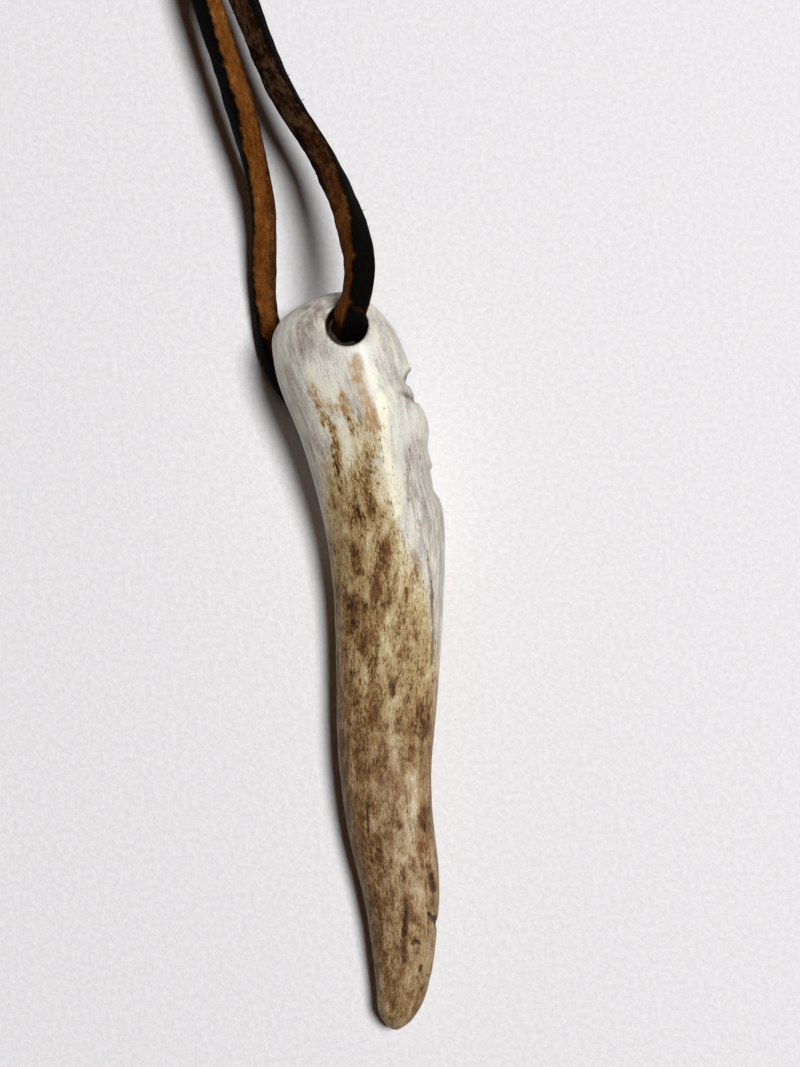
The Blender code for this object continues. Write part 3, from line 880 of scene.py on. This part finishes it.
def make_antler():
    """The whole antler tip as one fine mesh, drilled and carved."""
    skin = antler_skin()
    normals = grid_normals(skin)
    skin = skin + normals * antler_relief(skin)[..., None]
    sign = np.sign(normals[..., 2:])
    skin = skin - sign * np.array((0, 0, 1)) * mouth_rounding_depth(skin)[..., None]
    skin[..., 2] = np.maximum(skin[..., 2], 0)
    rings = len(skin)
    points = list(skin.reshape(-1, 3))
    faces = [(a, d, c, b) for a, b, c, d in ring_faces(rings, SIDES)]
    for ring, from_end in ((0, 0.0), (rings - 1, LENGTH)):
        middle, _, height, _, _ = antler_form(np.array([from_end]))
        points.append((middle[0], LENGTH / 2 - from_end, height[0]))
        start, end = ring * SIDES, len(points) - 1
        for j in range(SIDES):
            pair = (start + j, start + (j + 1) % SIDES)
            faces.append((*pair, end) if ring == 0 else (*pair[::-1], end))
    antler = new_mesh("antler", np.array(points), faces)
    drill(antler)
    finish_antler(antler)
    return antler


def drill(antler):
    """Cuts the hole that the lace passes through."""
    mesh = bmesh.new()
    size = {"radius1": HOLE_RADIUS * MM, "radius2": HOLE_RADIUS * MM, "depth": 3 * THICKNESS * MM}
    bmesh.ops.create_cone(mesh, cap_ends=True, segments=DRILL_SIDES, **size)
    cutter = new_plain_mesh("drill", mesh)
    cutter.location = (HOLE_X * MM, HOLE_Y * MM, THICKNESS * MM)
    cut = antler.modifiers.new("drill", "BOOLEAN")
    cut.operation = "DIFFERENCE"
    cut.solver = "EXACT"
    cut.object = cutter
    bpy.context.view_layer.update()
    evaluated = antler.evaluated_get(bpy.context.evaluated_depsgraph_get())
    drilled = bpy.data.meshes.new_from_object(evaluated)
    antler.modifiers.clear()
    antler.data = drilled
    bpy.data.objects.remove(cutter)


def finish_antler(antler):
    """Stores the antler's marks for its material, and ties it to its solid."""
    points = mesh_points(antler.data)
    for name, values in antler_marks(points).items():
        paint(antler.data, name, values)
    paint(antler.data, "straight", straightened(points))
    from_wall = np.hypot(points[:, 0] - HOLE_X, points[:, 1] - HOLE_Y) - HOLE_RADIUS
    # the bore and the rim of its mouths are painted dark brown as shade
    paint(antler.data, "bore_painted_shade", rise(-from_wall, -BORE_SHADE_FROM, -BORE_SHADE_FULL))
    antler.data.shade_smooth()
    antler.data.set_sharp_from_angle(angle=SHARP_ANGLE)
    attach(antler, "root")
    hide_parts("antler_tip")


class Shader:
    """A material whose nodes are added one by one."""

    def __init__(self, name):
        self.material = bpy.data.materials.new(name)
        self.material.use_nodes = True
        self.tree = self.material.node_tree
        self.surface = self.tree.nodes["Principled BSDF"]

    def add(self, kind, settings=None, **inputs):
        """Adds a node and returns it. An input is named, or numbered as i0, i1 and so on."""
        node = self.tree.nodes.new("ShaderNode" + kind)
        for key, value in (settings or {}).items():
            setattr(node, key, value)
        for key, value in inputs.items():
            place = int(key[1:]) if key[1:].isdigit() else key
            self.join(node.inputs[place], value)
        return node

    def join(self, socket, value):
        """Sets an input to a number, a colour or another node's output."""
        if isinstance(value, bpy.types.NodeSocket):
            self.tree.links.new(value, socket)
        elif socket.type == "RGBA":
            socket.default_value = (*value, 1)
        else:
            socket.default_value = value

    def stored(self, name, output="Fac"):
        """What paint stored under this name."""
        return self.add("Attribute", {"attribute_name": name}).outputs[output]

    def times(self, first, second):
        """The product of two values, held between 0 and 1."""
        settings = {"operation": "MULTIPLY", "use_clamp": True}
        return self.add("Math", settings, i0=first, i1=second).outputs[0]

    def noise(self, vector, stretch, scale, detail, roughness, distortion=0.0):
        """Noise along this vector, whose second part is first taken times stretch."""
        vector = self.add("Mapping", Vector=vector, Scale=(1.0, stretch, 1.0)).outputs[0]
        node = self.add("TexNoise", Vector=vector, Scale=scale, Detail=detail, Roughness=roughness)
        node.inputs["Distortion"].default_value = distortion
        return node.outputs["Fac"]

    def span(self, value, low, high, out_low=0.0, out_high=1.0):
        """value from low to high, as a smooth step between two numbers."""
        settings = {"interpolation_type": "SMOOTHSTEP"}
        return self.add("MapRange", settings, i0=value, i1=low, i2=high, i3=out_low, i4=out_high).outputs[0]

    def mix(self, share, first, second, blend="MIX"):
        """A blend of two colours."""
        settings = {"data_type": "RGBA", "blend_type": blend}
        return self.add("Mix", settings, i0=share, i6=first, i7=second).outputs[2]

    def ramp(self, value, *stops):
        """Colours at places from 0 to 1, blended between."""
        node = self.add("ValToRGB", Fac=value)
        band = node.color_ramp.elements
        band[0].position, band[1].position = stops[0][0], stops[-1][0]
        band[0].color, band[1].color = (*stops[0][1], 1), (*stops[-1][1], 1)
        for place, color in stops[1:-1]:
            band.new(place).color = (*color, 1)
        return node.outputs[0]

    def total(self, amount, *parts):
        """A number plus weighted values, held between 0 and 1. Each counts from its third number or 0.5."""
        for value, weight, *start in parts:
            start = start[0] if start else 0.5
            part = self.add("Math", {"operation": "SUBTRACT"}, i0=value, i1=start).outputs[0]
            node = self.add("Math", {"operation": "MULTIPLY_ADD"}, i0=part, i1=weight, i2=amount)
            amount = node.outputs[0]
        return self.add("Clamp", Value=amount).outputs[0]

    def finish(self, color, roughness, height, distance):
        """Sets the surface's colour, roughness and bump."""
        self.join(self.surface.inputs["Base Color"], color)
        self.join(self.surface.inputs["Roughness"], roughness)
        bump = self.add("Bump", Height=height, Distance=distance)
        self.join(self.surface.inputs["Normal"], bump.outputs[0])
        return self.material


# The antler's colours
IVORY = (0.72, 0.675, 0.59)
# pale bone, also used for a painted highlight below the hole
PALE_BONE_AND_HIGHLIGHT = (0.86, 0.825, 0.74)
LILAC_GREY = (0.52, 0.465, 0.415)
FACET_GREY = (0.4, 0.35, 0.315)
DULL_GREY = (0.27, 0.22, 0.175)
# painted shade in the carved creases
CREASE_PAINTED_SHADE = (0.1, 0.08, 0.062)
MAUVE_TINT = (0.84, 0.8, 0.94)
CREAM = (0.86, 0.77, 0.57)
# cream brightened into a painted highlight on the crest
CREAM_AND_PAINTED_HIGHLIGHT = (0.95, 0.87, 0.66)
PEACH = (0.43, 0.245, 0.095)
RED_BROWN = (0.24, 0.085, 0.024)
STRAW = (0.56, 0.425, 0.23)
TAN = (0.4, 0.262, 0.118)
OLIVE_BROWN = (0.23, 0.12, 0.037)
BROWN = (0.12, 0.048, 0.012)
DARK_BROWN = (0.032, 0.013, 0.004)
# painted shade for the inside of the hole
BORE_PAINTED_SHADE = (0.028, 0.015, 0.008)

# The leather's colours
SHADED_TAN = (0.004, 0.001, 0.0005)
DEEP_TAN = (0.026, 0.006, 0.001)
RED_TAN = (0.115, 0.032, 0.004)
WARM_TAN = (0.215, 0.075, 0.013)
PALE_TAN = (0.42, 0.21, 0.075)
WORN_LEATHER = (0.115, 0.068, 0.034)
GRAIN_BLACK = (0.0006, 0.0004, 0.0003)
RUBBED_BLACK = (0.004, 0.003, 0.002)

# Gloss, roughness and the depth of the bump
ANTLER_SPECULAR = 0.26
ANTLER_SMOOTHEST = 0.38
ANTLER_ROUGHEST = 0.68
ANTLER_BUMP = 0.05
LEATHER_SPECULAR = 0.05
LEATHER_ROUGHNESS = 0.85
LEATHER_BUMP = 0.12


def antler_grain(nodes):
    """The antler's grain at six scales, each drawn out along it."""
    place = nodes.stored("straight", "Vector")
    return SimpleNamespace(
        patches=nodes.noise(place, 0.4, 0.45, 3, 0.55),
        streaks=nodes.noise(place, 0.16, 1.3, 4, 0.6),
        flecks=nodes.noise(place, 0.36, 3.4, 4, 0.66, 0.8),
        grains=nodes.noise(place, 0.4, 8, 2, 0.6),
        clouds=nodes.noise(place, 0.45, 1.1, 3, 0.6),
        lines=nodes.noise(place, 0.1, 3.2, 3, 0.6),
    )


def stained_tone(nodes, grain):
    """How pale the stained antler is, from its dark blotches and painted shade to cream."""
    calm = nodes.stored("calm")
    fewer = nodes.span(calm, 0, 1, 1, 0.45)
    specks = nodes.times(nodes.span(grain.flecks, 0.36, 0.5, 1, 0), fewer)
    specks = nodes.times(specks, nodes.span(grain.clouds, 0.38, 0.6, 1, 0.25))
    broken = nodes.total(0.86, (grain.flecks, -1.8), (grain.clouds, -1.4), (grain.grains, -0.8))
    return nodes.total(
        0.64,
        (grain.patches, 0.7), (grain.clouds, 0.5), (grain.streaks, 0.4),
        (grain.flecks, 0.6), (grain.grains, 0.5), (specks, -0.24, 0),
        # dark stains, and painted shade on the left side and underside
        (nodes.times(nodes.stored("dark"), broken), -0.34, 0),
        (calm, -0.08, 0),
        (nodes.stored("pale"), 0.19, 0),
        (nodes.stored("stain"), -0.16, 0.85),
    )


def stained_brown(nodes, tone):
    """The stained antler's browns, a little mauve where it is calm."""
    upper = (0.42, OLIVE_BROWN), (0.58, TAN), (0.76, STRAW), (0.97, CREAM)
    brown = nodes.ramp(tone, (0.06, DARK_BROWN), (0.24, BROWN), *upper)
    return nodes.mix(nodes.times(nodes.stored("calm"), 0.6), brown, MAUVE_TINT, "MULTIPLY")


def polished_bone(nodes, grain):
    """The polished antler's greys and creams."""
    cloud = nodes.total(0.54, (grain.streaks, 0.8), (grain.patches, 1), (grain.grains, 0.7))
    bone = nodes.ramp(cloud, (0.15, DULL_GREY), (0.4, LILAC_GREY), (0.62, IVORY), (0.95, CREAM))
    facet = nodes.times(nodes.stored("facet"), nodes.span(grain.lines, 0.38, 0.6, 0.95, 0.05))
    bone = nodes.mix(facet, bone, FACET_GREY)
    # pale bone marks, and a painted highlight below the hole
    bone = nodes.mix(nodes.times(nodes.stored("pale"), 0.7), bone, PALE_BONE_AND_HIGHLIGHT)
    bone = nodes.mix(nodes.span(nodes.stored("stain"), 0.02, 0.5, 0, 0.55), bone, STRAW)
    # grey marks; the one on the carved ramp's face is painted shade
    grey = nodes.times(nodes.stored("grey"), nodes.span(grain.streaks, 0.3, 0.65, 1, 0.35))
    bone = nodes.mix(grey, bone, DULL_GREY)
    # the crest is cream bone brightened into a painted highlight
    crest_cream_and_highlight = nodes.stored("crest_cream_and_highlight")
    crest_cream_and_highlight = nodes.total(0, (crest_cream_and_highlight, 1.3, 0), (grain.flecks, 1.6), (grain.streaks, 1))
    return nodes.mix(nodes.times(crest_cream_and_highlight, 0.8), bone, CREAM_AND_PAINTED_HIGHLIGHT)


def with_marks(nodes, grain, color):
    """The red, peach and brown marks and the painted shade in the carved creases over the antler's colour.
    """
    red = nodes.times(nodes.stored("red"), nodes.span(grain.flecks, 0.42, 0.62, 1, 0.1))
    color = nodes.mix(nodes.times(red, 0.6), color, RED_BROWN)
    broken = nodes.total(0.66, (grain.flecks, -2.6), (grain.lines, 1.4))
    peach = nodes.times(nodes.stored("peach"), broken)
    color = nodes.mix(nodes.span(peach, 0, 1, 0, 0.88), color, PEACH)
    line = nodes.total(0, (nodes.stored("line"), 1, 0), (grain.flecks, 3))
    color = nodes.mix(nodes.span(line, 0.25, 0.85, 0, 0.8), color, BROWN)
    # painted shade in the carved creases
    return nodes.mix(nodes.times(nodes.stored("crease_and_painted_shade"), 0.94), color, CREASE_PAINTED_SHADE)


def dirty_hollows(nodes, grain):
    """How much dirt there is in the cracks and pits."""
    crack, pit = nodes.stored("crack"), nodes.stored("pit")
    speckle = (grain.flecks, -0.9), (grain.grains, -0.5)
    dirt = nodes.total(0, (crack, 1.4, 0), (pit, 1.3, 0), *speckle)
    marked = nodes.total(0, (crack, 4, 0), (pit, 4, 0))
    return nodes.times(nodes.span(dirt, 0.35, 0.85), marked)


def antler_height(nodes, grain, tone):
    """Very low furrows where the antler is polished, and a small hollow at each dark fleck elsewhere."""
    furrows = nodes.ramp(grain.streaks, (0, (0.45, 0.45, 0.45)), (1, (0.55, 0.55, 0.55)))
    flecks = nodes.ramp(tone, (0, (0, 0, 0)), (1, (1, 1, 1)))
    return nodes.mix(nodes.stored("stain"), furrows, flecks)


def antler_material():
    """Polished ivory grey at the drilled end and on the facet, and stained brown towards the tip."""
    nodes = Shader("antler")
    grain = antler_grain(nodes)
    stain, tone = nodes.stored("stain"), stained_tone(nodes, grain)
    ragged = nodes.total(0, (stain, 1.7, 0), (grain.flecks, -3), (grain.streaks, -0.8))
    bone, brown = polished_bone(nodes, grain), stained_brown(nodes, tone)
    color = with_marks(nodes, grain, nodes.mix(nodes.span(ragged, 0.15, 0.95), bone, brown))
    hollow = dirty_hollows(nodes, grain)
    color = nodes.mix(nodes.times(hollow, 0.86), color, DARK_BROWN)
    # painted shade inside the hole and on its rim
    color = nodes.mix(nodes.times(nodes.stored("bore_painted_shade"), 0.95), color, BORE_PAINTED_SHADE)
    worn = nodes.total(0, (stain, 0.6, 0), (grain.flecks, 0.6), (hollow, 1, 0))
    roughness = nodes.span(worn, 0, 1, ANTLER_SMOOTHEST, ANTLER_ROUGHEST)
    nodes.surface.inputs["Specular IOR Level"].default_value = ANTLER_SPECULAR
    return nodes.finish(color, roughness, antler_height(nodes, grain, tone), ANTLER_BUMP * MM)


def leather_material():
    """Leather that is black on its grain side, and tan and fibrous on its cut edges and flesh side."""
    nodes = Shader("leather")
    place = nodes.stored("spot", "Vector")
    fibres = nodes.noise(place, 0.4, 2.8, 4, 0.66)
    blotches = nodes.noise(place, 0.55, 0.6, 3, 0.6)
    nap = nodes.noise(place, 1, 8, 2, 0.6)
    darkness = nodes.stored("darkness")
    speckle = (fibres, 0.7), (nap, 0.5), (blotches, 0.5)
    tone = nodes.total(0.58, *speckle, (darkness, -0.66, 0.15))
    paler = (0.54, RED_TAN), (0.76, WARM_TAN), (0.98, PALE_TAN)
    tan = nodes.ramp(tone, (0.06, SHADED_TAN), (0.28, DEEP_TAN), *paler)
    worn = nodes.total(0, (fibres, 1, 0.35), (blotches, 1.3, 0.35))
    mottle = nodes.times(darkness, nodes.span(worn, 0.2, 0.58))
    tan = nodes.mix(nodes.times(mottle, 0.42), tan, WORN_LEATHER)
    black = nodes.ramp(nap, (0.35, GRAIN_BLACK), (0.75, RUBBED_BLACK))
    color = nodes.mix(nodes.stored("grain"), tan, black)
    height = nodes.total(0.5, (fibres, 1), (nap, 0.7))
    nodes.surface.inputs["Specular IOR Level"].default_value = LEATHER_SPECULAR
    return nodes.finish(color, LEATHER_ROUGHNESS, height, LEATHER_BUMP * MM)


# The floor, in millimetres but for its half size in metres
FLOOR_HALF_SIZE = 3
FLOOR_BELOW = 0.05
CLOTH_BUMP = 0.10
CLOTH_GRAIN = 1500
CLOTH_SHADE = (0.785, 0.745, 0.745)
CLOTH_WHITE = (0.865, 0.820, 0.820)


def floor_material():
    """A plain pale cloth."""
    nodes = Shader("floor")
    place = nodes.add("TexCoord").outputs["Object"]
    weave = nodes.noise(place, 1.0, CLOTH_GRAIN, 3, 0.6)
    color = nodes.mix(nodes.span(weave, 0.3, 0.7), CLOTH_SHADE, CLOTH_WHITE)
    return nodes.finish(color, 0.9, weave, CLOTH_BUMP * MM)


def make_floor():
    mesh = bmesh.new()
    bmesh.ops.create_grid(mesh, x_segments=1, y_segments=1, size=FLOOR_HALF_SIZE)
    floor = new_plain_mesh("floor", mesh)
    floor.location.z = -FLOOR_BELOW * MM
    floor.data.materials.append(floor_material())


KEY_FROM = math.radians(20)
KEY_ELEVATION = math.radians(71.5)
KEY_DISTANCE = 1.2
KEY_SIZE = 0.34
KEY_POWER = 15.6
KEY_COLOR = (0.94, 0.98, 1.0)
SKY_COLOR = (1.0, 0.70, 0.48, 1)
SKY_STRENGTH = 0.022


def make_lights():
    """One soft key light from the right and a weak warm sky."""
    data = bpy.data.lights.new("key", "AREA")
    data.shape = "DISK"
    data.size = KEY_SIZE
    data.energy = KEY_POWER
    data.color = KEY_COLOR
    key = new_object("key", data)
    direction = Vector((
        math.cos(KEY_FROM) * math.cos(KEY_ELEVATION),
        math.sin(KEY_FROM) * math.cos(KEY_ELEVATION),
        math.sin(KEY_ELEVATION),
    ))
    key.location = direction * KEY_DISTANCE
    key.rotation_mode = "QUATERNION"
    key.rotation_quaternion = direction.to_track_quat("Z", "Y")
    world = bpy.data.worlds.new("world")
    world.use_nodes = True
    sky = world.node_tree.nodes["Background"]
    sky.inputs["Color"].default_value = SKY_COLOR
    sky.inputs["Strength"].default_value = SKY_STRENGTH
    bpy.context.scene.world = world
    bpy.context.scene.view_settings.view_transform = "Standard"


make_camera()
lace, lace_centers = make_lace()
knot = make_knot()
tie = make_tie()
leather = leather_material()
for piece in (lace, knot, tie):
    piece.data.materials.append(leather)
antler = make_antler()
antler.data.materials.clear()
antler.data.materials.append(antler_material())
make_floor()
make_lights()
